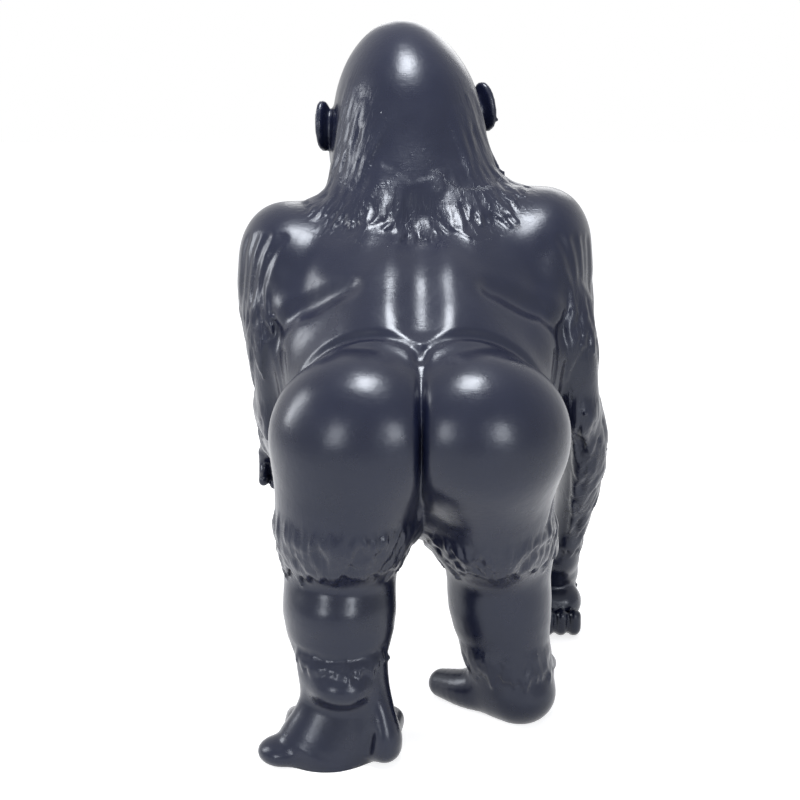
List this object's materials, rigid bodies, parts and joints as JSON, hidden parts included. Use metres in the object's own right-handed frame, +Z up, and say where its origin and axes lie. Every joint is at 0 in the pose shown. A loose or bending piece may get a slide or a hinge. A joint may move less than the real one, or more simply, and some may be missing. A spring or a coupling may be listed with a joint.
{
  "type": "gorilla garden statue",
  "caption": "Life-size garden statue of a gorilla walking on its knuckles, cast as a single hollow piece with a satin near-black finish.",
  "frame": {"origin": "middle of the bounding box at ground level, under the belly", "axes": "+Z up; the gorilla faces +Y, and its right side is towards +X"},
  "size_m": [0.7912, 0.9702, 1.3593],
  "materials": {
    "satin_black_paint": "satin near-black paint with a blue cast, brushed over a glass-fibre casting"
  },
  "bodies": {
    "root": {"gorilla": "satin_black_paint"}
  },
  "joints": []
}
